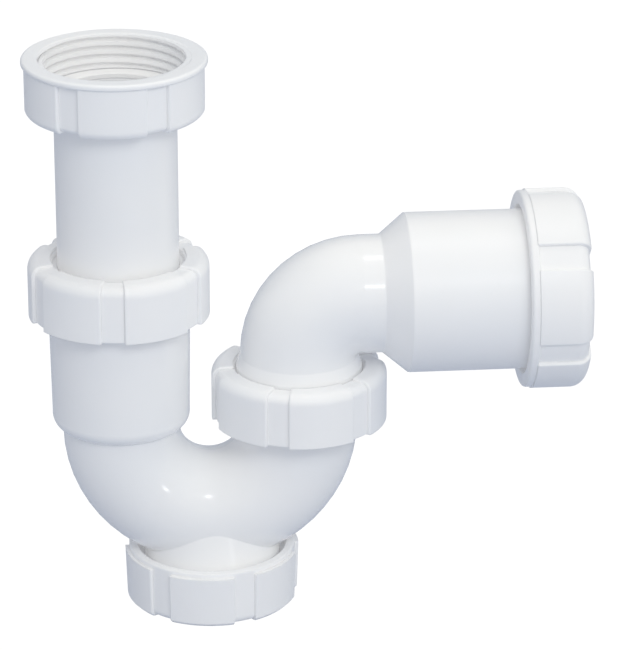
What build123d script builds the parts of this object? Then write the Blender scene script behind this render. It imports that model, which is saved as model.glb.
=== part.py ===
from build123d import *
import math
import os

# White plastic P trap with a telescopic inlet, a swivel outlet elbow and a clean-out cap.
# Millimetres, +Z up. The origin is the centre of the inlet washer's top face, where the
# basin or sink waste seats. +X runs towards the outlet, and the inlet axis is the Z axis.

# Pipe runs
LEG_GAP = 57.7            # inlet axis to outlet leg axis
BEND_R = LEG_GAP / 2      # centreline radius of the U bend
BEND_Z = -114.15          # height of the U bend's centre
BEND_TUBE_R = 18.86
WALL = 2.0
INLET_TUBE_R = 19.43
INLET_TUBE_END_Z = -91.0
ELBOW_TUBE_R = 19.1
ELBOW_BEND_R = 19.6
OUTLET_Z = -71.0          # height of the horizontal outlet axis
CLEARANCE = 0.1           # between pieces that touch or run on each other

# Threads, all right hand
PITCH = 2.8
THREAD_DEPTH = 1.6
RIDGE_BASE = 1.5
RIDGE_TIP = 0.6
FLANK_GAP = 0.25
THREAD_ROOT = 0.4         # how far a ridge is rooted in its wall
THREAD_TRIM = 0.2         # what is cut off a ridge where it runs out of a nut
CUTTER_H = 4.0
SPIGOT_R = 22.1           # core radius of the three 1 1/2 inch size spigots
NUT_CREST_R = 22.42       # inner radius of their nuts' threads
NUT_ROOT_R = 24.0
OUTLET_SPIGOT_R = 25.4
OUTLET_CREST_R = 25.72
OUTLET_ROOT_R = 27.3

# Grip pads, six round each nut
PAD_COUNT = 6
PAD_ANGLE = 45.0
PAD_RAISE = 1.3
PAD_TOP_RAISE = 0.8
PAD_EDGE_R = 0.5
NUT_LIP = 2.5
SLIP_RING_H = 1.5
SLIP_RING_R = 22.2        # passes the nuts' threads
SEAL_R = 22.2
WASHER_EDGE_R = 0.25      # softened edges of rings and washers
OUTLET_RING_H = 1.6
PAD_ROOT = 1.6            # how far a pad's inner corner lies inside the nut's wall

# Inlet nut, mouth up
INLET_NUT_TOP_Z = 11.15
INLET_NUT_H = 18.2
INLET_NUT_R = 28.5
INLET_RIM_R = 29.3
INLET_RIM_H = 2.0
INLET_THREAD_END = 188.0  # angle from +X where the thread runs out at the mouth
INLET_CREST_W = 1.46      # flat top of the inlet nut's thread
INLET_ROOT_W = 1.9
INLET_PAD_DEG = 93.7
INLET_LIP = 2.4
INLET_SHOULDER_R = 2.6
INLET_NUT_HOLE_R = 20.0
FLANGE_R = 22.1
FLANGE_TOP_Z = -1.7
FLANGE_H = 2.8
WASHER_H = 1.6
WASHER_HOLE_R = 17.1

# Telescopic nut and the socket it closes, mouth down
TELE_NUT_Z = -74.4
TELE_NUT_H = 19.0
TELE_NUT_R = 29.0
TELE_NUT_HOLE_R = 21.2
TELE_PAD_DEG = -66.1
TELE_SHOULDER_R = 3.6
TELE_SPIGOT_TOP_Z = -61.8
TELE_THREAD_Z = -69.1     # where the ridge's centre line starts, on the +X side
TELE_TURNS = 2.3
TELE_NUT_TURNS = 2.6
TELE_SEAL_TAPER = 2.4     # how far the seal's cone reaches into the spigot
TELE_SEAL_NECK_R = 21.0
SOCKET_BORE_R = 19.9
SOCKET_TOP_R = 22.65
SOCKET_LOW_R = 22.14
SOCKET_ROUND_Z = -108.0
SOCKET_END_Z = -112.8

# Swivel nut and the elbow's lower end, mouth down
SWIVEL_NUT_Z = -112.6
SWIVEL_NUT_H = 18.2
SWIVEL_NUT_R = 28.4
SWIVEL_NUT_HOLE_R = 20.9
SWIVEL_PAD_DEG = -79.0
SWIVEL_SHOULDER_R = 3.4
SWIVEL_SPIGOT_TOP_Z = -102.2
SWIVEL_THREAD_Z = -108.5
SWIVEL_TURNS = 1.9
SWIVEL_NUT_TURNS = 2.2
COLLAR_R = 22.0
COLLAR_TOP_Z = -98.6
COLLAR_H = 1.9
CUFF_LOW_R = 20.5         # the elbow's leg spreads inside the nut's hole
CUFF_TOP_R = 20.4
SKIRT_R = 19.4
SKIRT_H = 5.0

# Outlet socket and nut, along +X
CONE_START_X = 84.0
CONE_END_X = 92.1
OUTLET_SOCKET_R = 25.8
OUTLET_SOCKET_END_X = 141.6
PIPE_STOP_X = 93.5
PIPE_STOP_R = 22.2
PIPE_STOP_STEP = 2.2      # how far the stop stands in from the pipe
PIPE_MOUTH_R = 23.2
MOUTH_CONE_H = 3.2        # lead-in cone the seal sits in
MOUTH_CONE_W = 1.5
OUTLET_SEAL_TAPER = 3.8
OUTLET_SEAL_R = 25.5
OUTLET_RING_R = 25.5
OUTLET_BORE_R = 21.7
OUTLET_NUT_X = 129.0
OUTLET_NUT_H = 20.1
OUTLET_NUT_R = 32.2
OUTLET_RIM_R = 31.8
OUTLET_RIM_H = 2.8
OUTLET_LIP = 2.6
OUTLET_SHOULDER_R = 5.0
OUTLET_THREAD_X = 133.6
OUTLET_TURNS = 2.4
OUTLET_NUT_TURNS = 2.7
OUTLET_PAD_DEG = -99.0

# Clean-out neck and cap, mouth up
NECK_TOP_Z = -143.0
NECK_TOP_R = 17.5
NECK_LOW_Z = -158.0
NECK_LOW_R = 22.3
NECK_END_Z = -170.2
NECK_THREAD_Z = -168.0
NECK_TURNS = 2.4
CAP_TURNS = 2.3
NECK_BORE_R = 19.8
CAP_TOP_Z = -156.0
CAP_H = 18.5
CAP_R = 28.45
CAP_RIM_H = 1.5
CAP_FLOOR = 2.5
CAP_WASHER_R = 22.2
CAP_WASHER_HOLE_R = 17.6
CAP_TAPER = 0.5           # the pads' draft over the cap's height
CAP_CHAMFER = 1.0
CAP_PAD_FOOT = 3.6        # how far the pads reach in under the base
CAP_PAD_DEG = 100.7


def turned(points, rounds=(), arc=360.0):
    """A solid of revolution about Z from (radius, z) corners; rounds pairs corner and radius."""
    face = make_face(Polyline(*points, close=True))
    for corner, radius in rounds:
        spot = Vector(*points[corner])
        near = face.vertices().sort_by_distance(spot)[0]
        face = fillet(near, radius)
    return revolve(Plane.XZ * face, axis=Axis.Z, revolution_arc=arc)


def tube_ring(outer_r, inner_r, low_z, high_z, edge_r=0.0):
    """A plain ring about Z."""
    corners = [(inner_r, low_z), (outer_r, low_z), (outer_r, high_z), (inner_r, high_z)]
    rounds = [(n, edge_r) for n in range(4)] if edge_r else []
    return turned(corners, rounds)


def helix_bar(inner_r, outer_r, inner_w, outer_w, start_z, turns):
    """A right-hand helical bar of trapezoid section, whose centre starts at start_z on +X."""
    path = Helix(pitch=PITCH, height=turns * PITCH, radius=inner_r)
    outline = [
        (inner_r, -inner_w / 2),
        (outer_r, -outer_w / 2),
        (outer_r, outer_w / 2),
        (inner_r, inner_w / 2),
    ]
    section = Plane.XZ * make_face(Polyline(*outline, close=True))
    return Pos(0, 0, start_z) * sweep(section, path=path, is_frenet=True)


def male_width(core_r, radius):
    """Width of a male ridge at a radius."""
    return RIDGE_BASE - (RIDGE_BASE - RIDGE_TIP) * (radius - core_r) / THREAD_DEPTH


def male_thread(core_r, start_z, turns):
    """A helical ridge to fuse on a spigot, rooted a little inside it."""
    root_r = core_r - THREAD_ROOT
    tip_r = core_r + THREAD_DEPTH
    return helix_bar(root_r, tip_r, male_width(core_r, root_r), RIDGE_TIP, start_z, turns)


def female_thread(core_r, crest_r, bore_r, start_z, turns):
    """The nut's ridge, half a pitch from the male one and clear of it by the flank gap."""
    root_r = bore_r + THREAD_ROOT
    room = PITCH - 2 * FLANK_GAP
    crest_w = room - male_width(core_r, crest_r)
    root_w = room - male_width(core_r, root_r)
    return helix_bar(crest_r, root_r, crest_w, root_w, start_z + PITCH / 2, turns)


def grip_pads(outline, centre_deg):
    """Six raised grip pads of one (radius, z) outline, with rounded outer edges.

    outline pairs its corners with rounds, as turned() takes them, and comes with the radius and
    the height beyond which an edge is outside the nut's wall.
    """
    corners, rounds, wall_r, wall_z = outline
    pad = turned(corners, rounds, PAD_ANGLE)
    soft = []
    for side in pad.faces().filter_by(GeomType.PLANE):
        if abs(side.normal_at().Z) > 0.5:
            continue
        for edge in side.edges():
            middle = edge @ 0.5
            if math.hypot(middle.X, middle.Y) > wall_r or middle.Z > wall_z:
                soft.append(edge)
    pad = fillet(soft, PAD_EDGE_R)
    turn = 360.0 / PAD_COUNT
    first = centre_deg - PAD_ANGLE / 2
    return [Rot(0, 0, first + n * turn) * pad for n in range(PAD_COUNT)]


def ring_nut(outer_r, height, hole_r, bore_r, lip, rim, shoulder_r, centre_deg):
    """A ring nut about Z with its mouth at z = 0 and its lip at z = height, before its thread.

    rim gives the radius and height of the smooth rim round the mouth, if it has one.
    """
    core_r = outer_r - PAD_RAISE
    core_h = height - PAD_TOP_RAISE
    rim_r, rim_h = rim or (core_r, 0)
    mouth = [(bore_r, 0), (rim_r, 0)]
    step = [(rim_r, rim_h), (core_r, rim_h)] if rim else []
    shoulder = len(mouth + step)
    outline = mouth + step + [
        (core_r, core_h),
        (hole_r, core_h),
        (hole_r, height - lip),
        (bore_r, height - lip),
    ]
    rounds = [(0, 0.5), (shoulder, shoulder_r - PAD_TOP_RAISE), (shoulder + 1, 0.4)]
    bead = (rim_r - core_r) / 3
    rounds += [(1, 0.9), (2, bead), (3, bead)] if rim else [(1, 0.5)]
    pad_low = max(rim_h - 0.3, 0)
    pad_lip_r = hole_r + 0.5
    root_r = core_r - PAD_ROOT
    root_z = core_h - PAD_ROOT
    pad = [
        (root_r, pad_low),
        (outer_r, pad_low),
        (outer_r, height),
        (pad_lip_r, height),
        (pad_lip_r, root_z),
        (root_r, root_z),
    ]
    pads = grip_pads((pad, [(2, shoulder_r)], outer_r - 0.01, core_h), centre_deg)
    return turned(outline, rounds) + pads


def inlet_nut():
    """Mouth-up nut with a rim bead; it screws onto the threaded tail of a sink waste."""
    rim = (INLET_RIM_R, INLET_RIM_H)
    blank = ring_nut(
        INLET_NUT_R,
        INLET_NUT_H,
        INLET_NUT_HOLE_R,
        NUT_ROOT_R,
        INLET_LIP,
        rim,
        INLET_SHOULDER_R,
        INLET_PAD_DEG,
    )
    nut = Pos(0, 0, INLET_NUT_TOP_Z) * Rot(180, 0, 0) * blank
    slope = (INLET_ROOT_W - INLET_CREST_W) / (NUT_ROOT_R - NUT_CREST_R)
    tip_r = NUT_CREST_R - THREAD_ROOT
    root_r = NUT_ROOT_R + THREAD_ROOT
    tip_w = INLET_CREST_W - slope * THREAD_ROOT
    root_w = INLET_ROOT_W + slope * THREAD_ROOT
    low_z = -INLET_CREST_W / 2 - THREAD_TRIM
    turns = (INLET_NUT_TOP_Z + INLET_CREST_W / 2 - low_z) / PITCH
    ridge = helix_bar(tip_r, root_r, tip_w, root_w, low_z, turns)
    ridge = Rot(0, 0, INLET_THREAD_END - 360 * turns) * ridge
    crest_bore = Pos(0, 0, INLET_NUT_TOP_Z) * Cylinder(NUT_CREST_R, 2 * INLET_NUT_TOP_Z)
    below = Pos(0, 0, -CUTTER_H / 2) * Cylinder(NUT_CREST_R + 0.5, CUTTER_H)
    cut_z = INLET_NUT_TOP_Z - THREAD_TRIM + CUTTER_H / 2
    above = Pos(0, 0, cut_z) * Cylinder(INLET_NUT_R, CUTTER_H)
    return nut + (ridge - crest_bore - below - above)


def inlet_tube():
    """Straight tube with a flange that hangs in the inlet nut."""
    bore_r = INLET_TUBE_R - WALL
    flange_low = FLANGE_TOP_Z - FLANGE_H
    outline = [
        (bore_r, INLET_TUBE_END_Z),
        (INLET_TUBE_R, INLET_TUBE_END_Z),
        (INLET_TUBE_R, flange_low),
        (FLANGE_R, flange_low),
        (FLANGE_R, FLANGE_TOP_Z),
        (bore_r, FLANGE_TOP_Z),
    ]
    return turned(outline, [(0, 0.5), (1, 1.2), (3, 0.3), (4, 0.3), (5, 0.5)])


def inlet_washer():
    """Flat washer on the tube's flange; its top face is the datum."""
    return tube_ring(FLANGE_R, WASHER_HOLE_R, -WASHER_H, 0, WASHER_EDGE_R)


def telescopic_nut():
    """Mouth-down nut that clamps the slip ring and seal round the inlet tube."""
    blank = ring_nut(
        TELE_NUT_R,
        TELE_NUT_H,
        TELE_NUT_HOLE_R,
        NUT_ROOT_R,
        NUT_LIP,
        None,
        TELE_SHOULDER_R,
        TELE_PAD_DEG,
    )
    start = TELE_THREAD_Z - PITCH
    thread = female_thread(SPIGOT_R, NUT_CREST_R, NUT_ROOT_R, start, TELE_NUT_TURNS)
    return Pos(0, 0, TELE_NUT_Z) * blank + thread


def telescopic_slip_ring():
    """Hard ring under the telescopic nut's lip."""
    top = TELE_NUT_Z + TELE_NUT_H - NUT_LIP - CLEARANCE
    return tube_ring(
        SLIP_RING_R, INLET_TUBE_R + CLEARANCE, top - SLIP_RING_H, top, WASHER_EDGE_R
    )


def telescopic_seal():
    """Tapered seal that sits in the spigot's mouth round the inlet tube."""
    inner_r = INLET_TUBE_R + CLEARANCE
    top = TELE_NUT_Z + TELE_NUT_H - NUT_LIP - SLIP_RING_H - 2 * CLEARANCE
    base = TELE_SPIGOT_TOP_Z + CLEARANCE
    outline = [
        (inner_r, base - TELE_SEAL_TAPER),
        (inner_r + 0.3, base - TELE_SEAL_TAPER),
        (TELE_SEAL_NECK_R, base),
        (SEAL_R, base),
        (SEAL_R, top),
        (inner_r, top),
    ]
    return turned(outline, [(3, 0.4), (4, 0.4), (5, 0.2)])


def swivel_nut():
    """Mouth-down nut that holds the elbow's collar down on the outlet leg."""
    blank = ring_nut(
        SWIVEL_NUT_R,
        SWIVEL_NUT_H,
        SWIVEL_NUT_HOLE_R,
        NUT_ROOT_R,
        NUT_LIP,
        None,
        SWIVEL_SHOULDER_R,
        SWIVEL_PAD_DEG,
    )
    start = SWIVEL_THREAD_Z - PITCH
    thread = female_thread(SPIGOT_R, NUT_CREST_R, NUT_ROOT_R, start, SWIVEL_NUT_TURNS)
    return Pos(LEG_GAP, 0, 0) * (Pos(0, 0, SWIVEL_NUT_Z) * blank + thread)


def swivel_slip_ring():
    """Hard ring between the swivel nut's lip and the elbow's collar."""
    low = COLLAR_TOP_Z + CLEARANCE
    high = SWIVEL_NUT_Z + SWIVEL_NUT_H - NUT_LIP - CLEARANCE
    return Pos(LEG_GAP, 0, 0) * tube_ring(
        SLIP_RING_R, CUFF_LOW_R + CLEARANCE, low, high, WASHER_EDGE_R
    )


def swivel_seal():
    """Flat seal between the elbow's collar and the top of the outlet leg."""
    low = SWIVEL_SPIGOT_TOP_Z + CLEARANCE / 2
    high = COLLAR_TOP_Z - COLLAR_H - CLEARANCE
    return Pos(LEG_GAP, 0, 0) * tube_ring(
        COLLAR_R - CLEARANCE, SKIRT_R + 0.2, low, high, WASHER_EDGE_R
    )


def outlet_elbow():
    """Swivel elbow: collar and skirt below, quarter bend, cone, pipe socket and spigot thread."""
    corner_z = OUTLET_Z - ELBOW_BEND_R
    arm_x = LEG_GAP + ELBOW_BEND_R
    collar_low = COLLAR_TOP_Z - COLLAR_H
    bore_r = ELBOW_TUBE_R - WALL
    foot = turned(
        [
            (0, collar_low - SKIRT_H),
            (SKIRT_R, collar_low - SKIRT_H),
            (SKIRT_R, collar_low),
            (COLLAR_R, collar_low),
            (COLLAR_R, COLLAR_TOP_Z),
            (CUFF_LOW_R, COLLAR_TOP_Z),
            (CUFF_TOP_R, SWIVEL_NUT_Z + SWIVEL_NUT_H),
            (ELBOW_TUBE_R, corner_z),
            (0, corner_z),
        ],
        [(1, 0.6), (3, 0.3), (4, 0.3), (6, 0.6)],
    )
    start = Plane(origin=(LEG_GAP, 0, corner_z), z_dir=(0, 0, 1))
    turn_centre = Axis((arm_x, 0, corner_z), (0, 1, 0))
    bend = revolve(start * Circle(ELBOW_TUBE_R), axis=turn_centre, revolution_arc=90)
    bend_bore = revolve(start * Circle(bore_r), axis=turn_centre, revolution_arc=90)
    arm = turned(
        [
            (0, arm_x),
            (ELBOW_TUBE_R, arm_x),
            (ELBOW_TUBE_R, CONE_START_X),
            (OUTLET_SOCKET_R, CONE_END_X),
            (OUTLET_SOCKET_R, OUTLET_NUT_X + 1.2),
            (OUTLET_SPIGOT_R, OUTLET_NUT_X + 1.6),
            (OUTLET_SPIGOT_R, OUTLET_SOCKET_END_X),
            (0, OUTLET_SOCKET_END_X),
        ],
        [(2, 0.8), (3, 1.0), (6, 0.3)],
    )
    arm_bore = turned(
        [
            (0, arm_x),
            (bore_r, arm_x),
            (bore_r, CONE_START_X + 0.8),
            (PIPE_STOP_R - PIPE_STOP_STEP, PIPE_STOP_X - 3.0),
            (PIPE_STOP_R - PIPE_STOP_STEP, PIPE_STOP_X),
            (PIPE_STOP_R, PIPE_STOP_X),
            (PIPE_MOUTH_R, OUTLET_SOCKET_END_X - MOUTH_CONE_H),
            (PIPE_MOUTH_R + MOUTH_CONE_W, OUTLET_SOCKET_END_X),
            (0, OUTLET_SOCKET_END_X),
        ],
    )
    thread = male_thread(OUTLET_SPIGOT_R, OUTLET_THREAD_X, OUTLET_TURNS)
    along_x = Pos(0, 0, OUTLET_Z) * Rot(0, 90, 0)
    foot_bore = Pos(LEG_GAP, 0, 0) * turned(
        [
            (0, collar_low - SKIRT_H),
            (bore_r, collar_low - SKIRT_H),
            (bore_r, corner_z),
            (0, corner_z),
        ]
    )
    outside = Pos(LEG_GAP, 0, 0) * foot + bend + along_x * (arm + thread)
    return outside - (foot_bore + bend_bore + along_x * arm_bore)


def outlet_seal():
    """Tapered seal in the outlet socket's mouth, round the waste pipe."""
    base = OUTLET_SOCKET_END_X + CLEARANCE
    top = OUTLET_NUT_X + OUTLET_NUT_H - OUTLET_LIP - OUTLET_RING_H - 2 * CLEARANCE
    outline = [
        (OUTLET_BORE_R, base - OUTLET_SEAL_TAPER),
        (PIPE_MOUTH_R - 0.3, base - OUTLET_SEAL_TAPER),
        (PIPE_MOUTH_R + MOUTH_CONE_W - 0.3, base),
        (OUTLET_SEAL_R, base),
        (OUTLET_SEAL_R, top),
        (OUTLET_BORE_R, top),
    ]
    return Pos(0, 0, OUTLET_Z) * Rot(0, 90, 0) * turned(outline, [(3, 0.4), (4, 0.4)])


def outlet_slip_ring():
    """Hard ring between the outlet nut's lip and its seal."""
    top = OUTLET_NUT_X + OUTLET_NUT_H - OUTLET_LIP - CLEARANCE
    ring = tube_ring(OUTLET_RING_R, OUTLET_BORE_R, top - OUTLET_RING_H, top, WASHER_EDGE_R)
    return Pos(0, 0, OUTLET_Z) * Rot(0, 90, 0) * ring


def outlet_nut():
    """Large nut on the outlet socket; its mouth faces the elbow."""
    blank = ring_nut(
        OUTLET_NUT_R,
        OUTLET_NUT_H,
        OUTLET_BORE_R,
        OUTLET_ROOT_R,
        OUTLET_LIP,
        (OUTLET_RIM_R, OUTLET_RIM_H),
        OUTLET_SHOULDER_R,
        OUTLET_PAD_DEG,
    )
    start = OUTLET_THREAD_X - PITCH
    thread = female_thread(
        OUTLET_SPIGOT_R, OUTLET_CREST_R, OUTLET_ROOT_R, start, OUTLET_NUT_TURNS
    )
    nut = Pos(0, 0, OUTLET_NUT_X) * blank + thread
    return Pos(0, 0, OUTLET_Z) * Rot(0, 90, 0) * nut


def cleanout_cap():
    """Closed cap, mouth up, on the neck under the U bend."""
    core_r = CAP_R - PAD_RAISE
    outline = [
        (NUT_ROOT_R + 0.6, 0),
        (core_r, 0),
        (core_r, CAP_H),
        (0, CAP_H),
        (0, CAP_H - CAP_FLOOR),
        (NUT_ROOT_R, CAP_H - CAP_FLOOR),
        (NUT_ROOT_R, 1.2),
    ]
    core = turned(outline, [(0, 0.3), (1, 0.5), (2, 2.6)])
    root_r = core_r - PAD_ROOT
    floor_r = core_r - CAP_PAD_FOOT
    low_r = CAP_R - CAP_TAPER
    pad = [
        (root_r, CAP_RIM_H),
        (CAP_R, CAP_RIM_H),
        (low_r, CAP_H - CAP_CHAMFER),
        (low_r - CAP_CHAMFER, CAP_H),
        (floor_r, CAP_H),
        (floor_r, CAP_H - PAD_ROOT),
        (root_r, CAP_H - CAP_PAD_FOOT),
    ]
    pads = grip_pads((pad, [], low_r - CAP_CHAMFER, CAP_H + 1), CAP_PAD_DEG)
    cap = Pos(0, 0, CAP_TOP_Z) * Rot(180, 0, 0) * (core + pads)
    thread = female_thread(SPIGOT_R, NUT_CREST_R, NUT_ROOT_R, NECK_THREAD_Z, CAP_TURNS)
    return Pos(BEND_R, 0, 0) * (cap + thread)


def cleanout_washer():
    """Flat washer between the cap's floor and the end of the neck."""
    low = CAP_TOP_Z - CAP_H + CAP_FLOOR + CLEARANCE
    high = NECK_END_Z - CLEARANCE
    return Pos(BEND_R, 0, 0) * tube_ring(
        CAP_WASHER_R, CAP_WASHER_HOLE_R, low, high, WASHER_EDGE_R
    )


def half_torus(tube_r):
    """The U bend's half turn, from the inlet leg under to the outlet leg."""
    start = Plane(origin=(0, 0, BEND_Z), z_dir=(0, 0, 1))
    centre = Axis((BEND_R, 0, BEND_Z), (0, -1, 0))
    return revolve(start * Circle(tube_r), axis=centre, revolution_arc=180)


def inlet_leg():
    """Outside of the telescopic socket, with its rounded foot that steps to the bend."""
    nut_mouth = TELE_NUT_Z
    sides = Polyline(
        (0, BEND_Z),
        (0, TELE_SPIGOT_TOP_Z),
        (SPIGOT_R, TELE_SPIGOT_TOP_Z),
        (SPIGOT_R, nut_mouth + 1.8),
        (SOCKET_TOP_R, nut_mouth + 1.2),
        (SOCKET_TOP_R, nut_mouth),
        (SOCKET_LOW_R, SOCKET_ROUND_Z),
    )
    foot = ThreePointArc(
        (SOCKET_LOW_R, SOCKET_ROUND_Z),
        (SOCKET_LOW_R - 0.75, -111.1),
        (BEND_TUBE_R + 0.55, SOCKET_END_Z),
    )
    step = Polyline(
        (BEND_TUBE_R + 0.55, SOCKET_END_Z),
        (BEND_TUBE_R, SOCKET_END_Z),
        (BEND_TUBE_R, BEND_Z),
        (0, BEND_Z),
    )
    return revolve(Plane.XZ * make_face(sides + foot + step), axis=Axis.Z)


def inlet_bore():
    """Inside of the telescopic socket: a lead-in cone, the tube's bore and a step to the bend."""
    bend_bore_r = BEND_TUBE_R - WALL
    return turned(
        [
            (0, BEND_Z),
            (bend_bore_r, BEND_Z),
            (bend_bore_r, SOCKET_END_Z + 0.6),
            (SOCKET_BORE_R, SOCKET_END_Z + 2.2),
            (SOCKET_BORE_R, TELE_SPIGOT_TOP_Z - 2.8),
            (SOCKET_BORE_R + 1.4, TELE_SPIGOT_TOP_Z),
            (0, TELE_SPIGOT_TOP_Z),
        ]
    )


def outlet_leg(core_r, low_r, spread):
    """Outlet leg about its own axis: tube, flare and spigot, or its bore with smaller radii."""
    return turned(
        [
            (0, BEND_Z),
            (low_r, BEND_Z),
            (low_r, SWIVEL_NUT_Z + spread),
            (core_r, SWIVEL_NUT_Z + spread + 2.2),
            (core_r, SWIVEL_SPIGOT_TOP_Z),
            (0, SWIVEL_SPIGOT_TOP_Z),
        ]
    )


def neck(low_r, top_r, core_r):
    """Clean-out neck about its own axis: flared cone and spigot, or its bore."""
    return turned(
        [
            (0, NECK_END_Z),
            (core_r, NECK_END_Z),
            (core_r, NECK_LOW_Z - 0.3),
            (low_r, NECK_LOW_Z),
            (top_r, NECK_TOP_Z),
            (0, NECK_TOP_Z),
        ]
    )


def trap_body():
    """The U bend with its telescopic socket, swivel spigot and clean-out neck, in one moulding."""
    bend_bore_r = BEND_TUBE_R - WALL
    at_outlet = Pos(LEG_GAP, 0, 0)
    at_neck = Pos(BEND_R, 0, 0)
    outside = (
        half_torus(BEND_TUBE_R)
        + inlet_leg()
        + at_outlet * outlet_leg(SPIGOT_R, BEND_TUBE_R, 0.2)
        + at_neck * neck(NECK_LOW_R, NECK_TOP_R, SPIGOT_R)
    )
    inside = (
        half_torus(bend_bore_r)
        + inlet_bore()
        + at_outlet * outlet_leg(NECK_BORE_R, bend_bore_r, -0.6)
        + at_neck * neck(NECK_BORE_R, NECK_TOP_R - WALL, NECK_BORE_R)
    )
    tele = male_thread(SPIGOT_R, TELE_THREAD_Z, TELE_TURNS)
    swivel = male_thread(SPIGOT_R, SWIVEL_THREAD_Z, SWIVEL_TURNS)
    cleanout = male_thread(SPIGOT_R, NECK_THREAD_Z, NECK_TURNS)
    threads = tele + at_outlet * swivel + at_neck * cleanout
    return outside + threads - inside


NODES = {
    "trap_body": trap_body,
    "inlet_nut": inlet_nut,
    "inlet_washer": inlet_washer,
    "inlet_tube": inlet_tube,
    "telescopic_nut": telescopic_nut,
    "telescopic_slip_ring": telescopic_slip_ring,
    "telescopic_seal": telescopic_seal,
    "swivel_nut": swivel_nut,
    "swivel_slip_ring": swivel_slip_ring,
    "swivel_seal": swivel_seal,
    "outlet_elbow": outlet_elbow,
    "outlet_nut": outlet_nut,
    "outlet_slip_ring": outlet_slip_ring,
    "outlet_seal": outlet_seal,
    "cleanout_cap": cleanout_cap,
    "cleanout_washer": cleanout_washer,
}

os.makedirs("parts", exist_ok=True)
for name, make in NODES.items():
    export_step(make(), os.path.join("parts", name + ".step"))
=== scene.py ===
import math

import bpy
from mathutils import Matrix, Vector


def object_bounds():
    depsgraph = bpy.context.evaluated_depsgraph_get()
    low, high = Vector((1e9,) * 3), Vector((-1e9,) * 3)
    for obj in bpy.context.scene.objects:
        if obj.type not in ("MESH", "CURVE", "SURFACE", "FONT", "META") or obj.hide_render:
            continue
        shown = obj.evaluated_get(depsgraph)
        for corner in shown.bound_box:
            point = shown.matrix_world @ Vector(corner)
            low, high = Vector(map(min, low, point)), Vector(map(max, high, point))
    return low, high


# The looks of a white plastic P trap: every CAD node keeps its shape, which holds the real
# outline, and gets its own moulded-plastic, washer or seal material, under soft studio light.

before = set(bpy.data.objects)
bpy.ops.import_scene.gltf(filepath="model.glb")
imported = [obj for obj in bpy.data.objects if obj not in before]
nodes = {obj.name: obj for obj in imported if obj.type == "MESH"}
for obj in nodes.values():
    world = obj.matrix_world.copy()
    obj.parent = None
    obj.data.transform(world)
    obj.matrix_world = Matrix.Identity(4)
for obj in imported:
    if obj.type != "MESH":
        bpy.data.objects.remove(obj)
cad_low, cad_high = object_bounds()
centre = (cad_low + cad_high) / 2
height = cad_high.z - cad_low.z

# A faint even glow is painted on every white piece, standing in for room light through the thin
# walls; it lifts the deep corners.
PAINTED_GLOW_COLOUR = (0.95, 0.96, 1.0, 1.0)
PAINTED_GLOW_STRENGTH = 0.07

# The floor lies this far under the object, so that the clean-out cap can be screwed down and off.
FLOOR_DROP = 0.012

# The outlet elbow's pipe socket, past this X, has a duller finish than the rest of the elbow.
SOCKET_START_X = 0.0921
SOCKET_DULLNESS = 0.19

# Camera: degrees from the front (to the left below 0) and above it, metres, and millimetres
# of lens on a 36 mm wide sensor.
CAMERA_AZIMUTH = -5.06
CAMERA_ELEVATION = 22.05
CAMERA_DISTANCE = 1.2243
CAMERA_LENS = 210.5
CAMERA_AIM = (0.0028, 0.0, 0.0003)    # what it looks at, from the object's centre

# Room light, from its dim lower side to its bright upper side along the lean.
ROOM_LEAN = (0.36, -0.33, 0.86)
ROOM_LOW = (0.50, 0.52, 0.60, 1.0)
ROOM_HIGH = (0.94, 0.95, 0.93, 1.0)
ROOM_STRENGTH = 0.85


class Graph:
    """A material's node tree, built one node at a time."""

    def __init__(self, name):
        self.material = bpy.data.materials.new(name)
        self.material.use_nodes = True
        self.tree = self.material.node_tree
        self.tree.nodes.clear()
        self.output = self.tree.nodes.new("ShaderNodeOutputMaterial")

    def add(self, kind, inputs=None, **settings):
        """Adds a node; inputs holds plain values or the sockets to link from."""
        node = self.tree.nodes.new(kind)
        for key, value in settings.items():
            setattr(node, key, value)
        for key, value in (inputs or {}).items():
            self.plug(node.inputs[key], value)
        return node

    def plug(self, socket, value):
        """Links a socket, or sets it to a plain value."""
        if isinstance(value, bpy.types.NodeSocket):
            self.tree.links.new(value, socket)
        else:
            socket.default_value = value

    def noise(self, scale, detail=3.0, rough=0.55, stretch=(1.0, 1.0, 1.0), shift=0.0):
        """Noise in the row frame, with scale in features per metre."""
        place = self.add("ShaderNodeTexCoord").outputs["Object"]
        moved = self.add(
            "ShaderNodeMapping",
            {"Vector": place, "Location": (shift, shift, shift), "Scale": stretch},
        )
        inputs = {
            "Vector": moved.outputs[0],
            "Scale": scale,
            "Detail": detail,
            "Roughness": rough,
        }
        return self.add("ShaderNodeTexNoise", inputs).outputs["Fac"]

    def ramp(self, value, low, high, to_low=0.0, to_high=1.0):
        """Maps a value's stretch from low to high onto to_low to to_high, smoothly."""
        inputs = {
            "Value": value,
            "From Min": low,
            "From Max": high,
            "To Min": to_low,
            "To Max": to_high,
        }
        made = self.add("ShaderNodeMapRange", inputs, interpolation_type="SMOOTHSTEP")
        return made.outputs["Result"]

    def math(self, operation, first, second):
        """One arithmetic step on two values."""
        node = self.add("ShaderNodeMath", operation=operation)
        self.plug(node.inputs[0], first)
        self.plug(node.inputs[1], second)
        return node.outputs[0]

    def mix(self, factor, first, second):
        """Mixes two colours."""
        node = self.add("ShaderNodeMix", data_type="RGBA")
        self.plug(node.inputs[0], factor)
        self.plug(node.inputs[6], first)
        self.plug(node.inputs[7], second)
        return node.outputs[2]

    def bump(self, value, distance, strength=1.0, normal=None):
        """A bump of the given depth in metres, on top of another normal."""
        inputs = {"Height": value, "Distance": distance, "Strength": strength}
        if normal is not None:
            inputs["Normal"] = normal
        return self.add("ShaderNodeBump", inputs).outputs["Normal"]

    def finish(self, shader):
        """Sends a shader to the material's output."""
        self.tree.links.new(shader, self.output.inputs["Surface"])
        return self.material


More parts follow.
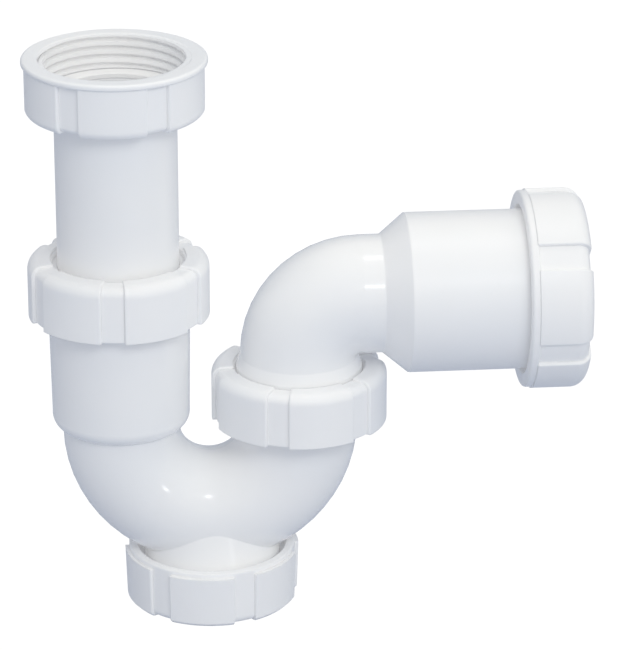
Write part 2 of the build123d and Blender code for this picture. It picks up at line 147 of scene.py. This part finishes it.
def grey(level, warm=0.0):
    """A near-white colour; warm above 0 leans to yellow and below 0 to blue."""
    return (level + warm, level, level - warm, 1.0)


def edge_mask(graph, soft_normal):
    """1 on sharp outer edges, 0 on flats: how far the rounded normal leaves the true one."""
    true_normal = graph.add("ShaderNodeNewGeometry").outputs["Normal"]
    agreement = graph.add("ShaderNodeVectorMath", operation="DOT_PRODUCT")
    graph.plug(agreement.inputs[0], soft_normal)
    graph.plug(agreement.inputs[1], true_normal)
    return graph.ramp(agreement.outputs["Value"], 0.999, 0.93, 0.0, 1.0)


def beyond(graph, x):
    """1 where the row frame's X is past x metres, and 0 before it."""
    place = graph.add("ShaderNodeTexCoord").outputs["Object"]
    parts = graph.add("ShaderNodeSeparateXYZ", {0: place})
    return graph.math("GREATER_THAN", parts.outputs["X"], x)


def moulded_plastic(name, shift, level=0.86, gloss=0.2, grain=0.00002, matt_x=None):
    """Injection-moulded white polypropylene: soft waves, faint flow marks, a painted highlight on
    sharp edges, and rubbed, rougher edges.

    A piece with a matt_x comes from a mould with a duller finish past that X.
    """
    graph = Graph(name)
    rounded = graph.add("ShaderNodeBevel", {"Radius": 0.0005}, samples=6).outputs[0]
    edges = edge_mask(graph, rounded)
    cloud = graph.noise(22.0, 2.0, 0.45, shift=shift)
    flow = graph.noise(45.0, 3.0, 0.5, stretch=(1.0, 1.0, 0.3), shift=shift + 3.0)
    speck = graph.noise(2600.0, 2.0, 0.5, shift=shift)
    scuff = graph.noise(260.0, 5.0, 0.8, stretch=(1.0, 0.3, 2.2), shift=shift + 7.0)

    cool, warm = grey(level - 0.01, -0.006), grey(level + 0.01, 0.004)
    tone = graph.mix(graph.ramp(cloud, 0.3, 0.7), cool, warm)
    tone = graph.mix(graph.ramp(flow, 0.45, 0.8, 0.0, 0.3), tone, grey(level - 0.03, 0.006))
    # Sharp edges get a painted highlight: a lighter base colour along them.
    tone = graph.mix(graph.math("MULTIPLY", edges, 0.3), tone, grey(level + 0.05, 0.0))

    rough = graph.ramp(cloud, 0.3, 0.7, gloss - 0.02, gloss + 0.04)
    rough = graph.math("ADD", rough, graph.ramp(scuff, 0.55, 0.8, 0.0, 0.05))
    rough = graph.math("ADD", rough, graph.math("MULTIPLY", edges, 0.04))
    if matt_x is not None:
        dull = graph.math("MULTIPLY", beyond(graph, matt_x), SOCKET_DULLNESS)
        rough = graph.math("ADD", rough, dull)

    normal = graph.bump(cloud, 0.0005, 0.25, rounded)
    normal = graph.bump(speck, grain, 0.4, normal)
    surface = graph.add(
        "ShaderNodeBsdfPrincipled",
        {
            "Base Color": tone,
            "Roughness": rough,
            "IOR": 1.49,
            "Normal": normal,
            "Subsurface Weight": 0.12,
            "Subsurface Radius": (1.0, 0.97, 0.92),
            "Subsurface Scale": 0.002,
            # Emission: a painted glow standing in for light through the thin walls, lifting the
            # deep corners.
            "Emission Color": PAINTED_GLOW_COLOUR,
            "Emission Strength": PAINTED_GLOW_STRENGTH,
        },
    )
    return graph.finish(surface.outputs[0])


def washer_plastic(name, shift):
    """Soft matt polyethylene with a faint grain."""
    graph = Graph(name)
    cloud = graph.noise(70.0, 3.0, 0.5, shift=shift)
    grain = graph.noise(1800.0, 3.0, 0.6, shift=shift)
    tone = graph.mix(graph.ramp(cloud, 0.35, 0.7), grey(0.84, 0.004), grey(0.88, 0.012))
    rough = graph.ramp(cloud, 0.3, 0.7, 0.42, 0.55)
    normal = graph.bump(grain, 0.00006, 0.6)
    surface = graph.add(
        "ShaderNodeBsdfPrincipled",
        {
            "Base Color": tone,
            "Roughness": rough,
            "IOR": 1.51,
            "Normal": normal,
            # Emission: a painted glow standing in for light through the thin walls, lifting the
            # deep corners.
            "Emission Color": PAINTED_GLOW_COLOUR,
            "Emission Strength": PAINTED_GLOW_STRENGTH,
        },
    )
    return graph.finish(surface.outputs[0])


def seal_rubber(name, shift):
    """Matt grey elastomer with a fine grain and a dusty bloom."""
    graph = Graph(name)
    cloud = graph.noise(90.0, 4.0, 0.6, shift=shift)
    grain = graph.noise(2400.0, 3.0, 0.6, shift=shift)
    tone = graph.mix(graph.ramp(cloud, 0.4, 0.7), grey(0.10, -0.004), grey(0.17, 0.0))
    rough = graph.ramp(grain, 0.3, 0.7, 0.55, 0.75)
    normal = graph.bump(grain, 0.00005, 0.7)
    surface = graph.add(
        "ShaderNodeBsdfPrincipled",
        {"Base Color": tone, "Roughness": rough, "IOR": 1.52, "Normal": normal},
    )
    return graph.finish(surface.outputs[0])


def dress(node, material):
    """Gives a CAD node its material."""
    mesh = nodes[node].data
    mesh.materials.clear()
    mesh.materials.append(material)
    for face in mesh.polygons:
        face.material_index = 0


def dress_everything():
    """One material for each node, so that no two pieces share their marks."""
    mouldings = {
        "trap_body": {"level": 0.86, "gloss": 0.13},
        "outlet_elbow": {"level": 0.86, "gloss": 0.13, "matt_x": SOCKET_START_X},
        "inlet_tube": {"level": 0.85, "gloss": 0.30},
        "inlet_nut": {"level": 0.87, "gloss": 0.31, "grain": 0.00003},
        "telescopic_nut": {"level": 0.87, "gloss": 0.31, "grain": 0.00003},
        "swivel_nut": {"level": 0.87, "gloss": 0.31, "grain": 0.00003},
        "outlet_nut": {"level": 0.85, "gloss": 0.31, "grain": 0.00003},
        "cleanout_cap": {"level": 0.87, "gloss": 0.31, "grain": 0.00003},
        "telescopic_slip_ring": {"level": 0.83, "gloss": 0.34},
        "swivel_slip_ring": {"level": 0.83, "gloss": 0.34},
        "outlet_slip_ring": {"level": 0.83, "gloss": 0.34},
    }
    for count, (node, look) in enumerate(mouldings.items()):
        dress(node, moulded_plastic(node + "_plastic", 1.7 * count, **look))
    for count, node in enumerate(("inlet_washer", "cleanout_washer")):
        dress(node, washer_plastic(node + "_plastic", 2.3 * count))
    for count, node in enumerate(("telescopic_seal", "swivel_seal", "outlet_seal")):
        dress(node, seal_rubber(node + "_rubber", 3.1 * count))


def make_floor():
    """A plain pale floor, with a wide curve up behind the object.

    It bounces a cool light, but the camera sees it as plain white.
    """
    half_width = 12 * height
    front, back, rise = -14 * height, 10 * height, 8 * height
    curve_r = 4 * height
    floor_z = cad_low.z - FLOOR_DROP
    profile = [(front, floor_z)]
    steps = 24
    for step in range(steps + 1):
        angle = math.pi / 2 * step / steps
        y = back - curve_r + curve_r * math.sin(angle)
        profile.append((y, floor_z + curve_r - curve_r * math.cos(angle)))
    profile.append((back, floor_z + rise))
    verts = []
    for y, z in profile:
        verts += [(centre.x - half_width, y, z), (centre.x + half_width, y, z)]
    faces = [(2 * n, 2 * n + 1, 2 * n + 3, 2 * n + 2) for n in range(len(profile) - 1)]
    mesh = bpy.data.meshes.new("floor")
    mesh.from_pydata(verts, [], faces)
    for face in mesh.polygons:
        face.use_smooth = True
    floor = bpy.data.objects.new("floor", mesh)
    bpy.context.scene.collection.objects.link(floor)
    graph = Graph("floor_paper")
    fibre = graph.noise(40.0, 2.0, 0.5)
    tone = graph.mix(fibre, (0.44, 0.485, 0.59, 1.0), (0.48, 0.525, 0.63, 1.0))
    paper = graph.add("ShaderNodeBsdfDiffuse", {"Color": tone}).outputs[0]
    glow = graph.add("ShaderNodeEmission", {"Color": grey(1.0), "Strength": 1.05}).outputs[0]
    seen = graph.add("ShaderNodeLightPath").outputs["Is Camera Ray"]
    both = graph.add("ShaderNodeMixShader", {0: seen, 1: paper, 2: glow}).outputs[0]
    mesh.materials.append(graph.finish(both))


def area_light(name, direction, distance, size, power, shiny=True):
    """A rectangular lamp that faces the object's centre; shiny lamps are seen in the gloss."""
    data = bpy.data.lights.new(name, "AREA")
    data.shape = "RECTANGLE"
    data.size, data.size_y = size
    data.energy = power
    lamp = bpy.data.objects.new(name, data)
    bpy.context.scene.collection.objects.link(lamp)
    lamp.visible_glossy = shiny
    away = Vector(direction).normalized()
    lamp.location = centre + away * distance
    lamp.rotation_mode = "QUATERNION"
    lamp.rotation_quaternion = away.to_track_quat("Z", "Y")


def make_room():
    """A white room as the only fill: brighter and warmer overhead and right, cool and dim below.

    The camera itself sees plain white past the floor's edges.
    """
    world = bpy.data.worlds.new("room")
    world.use_nodes = True
    tree = world.node_tree
    background = tree.nodes["Background"]
    place = tree.nodes.new("ShaderNodeTexCoord")
    lean = tree.nodes.new("ShaderNodeVectorMath")
    lean.operation = "DOT_PRODUCT"
    lean.inputs[1].default_value = Vector(ROOM_LEAN).normalized()
    fade = tree.nodes.new("ShaderNodeMapRange")
    fade.interpolation_type = "SMOOTHSTEP"
    fade.inputs["From Min"].default_value = -0.6
    fade.inputs["From Max"].default_value = 0.9
    tint = tree.nodes.new("ShaderNodeMix")
    tint.data_type = "RGBA"
    tint.inputs[6].default_value = ROOM_LOW
    tint.inputs[7].default_value = ROOM_HIGH
    tree.links.new(place.outputs["Generated"], lean.inputs[0])
    tree.links.new(lean.outputs["Value"], fade.inputs["Value"])
    tree.links.new(fade.outputs["Result"], tint.inputs[0])
    tree.links.new(tint.outputs[2], background.inputs["Color"])
    background.inputs["Strength"].default_value = ROOM_STRENGTH
    plain = tree.nodes.new("ShaderNodeBackground")
    plain.inputs["Color"].default_value = grey(1.0)
    seen = tree.nodes.new("ShaderNodeLightPath").outputs["Is Camera Ray"]
    both = tree.nodes.new("ShaderNodeMixShader")
    tree.links.new(seen, both.inputs[0])
    tree.links.new(background.outputs[0], both.inputs[1])
    tree.links.new(plain.outputs[0], both.inputs[2])
    tree.links.new(both.outputs[0], tree.nodes["World Output"].inputs["Surface"])
    bpy.context.scene.world = world


def make_lights():
    """A soft key and top light, and three small lamps that show as highlights in the gloss."""
    area_light("key", (0.25, -1.0, 0.75), 1.3, (0.5, 0.4), 3.0, shiny=False)
    area_light("top", (0.0, 0.15, 1.0), 1.4, (0.9, 0.9), 0.9, shiny=False)
    area_light("front lamp", (0.13, -0.82, 0.56), 1.2, (0.04, 0.02), 0.45)
    area_light("ceiling lamp", (0.12, 0.05, 0.99), 1.2, (0.20, 0.12), 0.40)
    area_light("low lamp", (0.50, -0.86, 0.03), 1.2, (0.03, 0.03), 0.30)


def make_camera():
    """The product view: a long lens a little to the left, looking down at the object."""
    azimuth, elevation = math.radians(CAMERA_AZIMUTH), math.radians(CAMERA_ELEVATION)
    target = centre + Vector(CAMERA_AIM)
    back = Vector(
        (
            math.sin(azimuth) * math.cos(elevation),
            -math.cos(azimuth) * math.cos(elevation),
            math.sin(elevation),
        )
    )
    data = bpy.data.cameras.new("camera")
    data.lens = CAMERA_LENS
    data.sensor_width = 36.0
    camera = bpy.data.objects.new("camera", data)
    bpy.context.scene.collection.objects.link(camera)
    camera.location = target + back * CAMERA_DISTANCE
    camera.rotation_mode = "QUATERNION"
    camera.rotation_quaternion = (-back).to_track_quat("-Z", "Y")
    data.clip_end = 50.0
    bpy.context.scene.camera = camera


dress_everything()
make_floor()
make_room()
make_lights()
make_camera()
bpy.context.scene.view_settings.view_transform = "Standard"
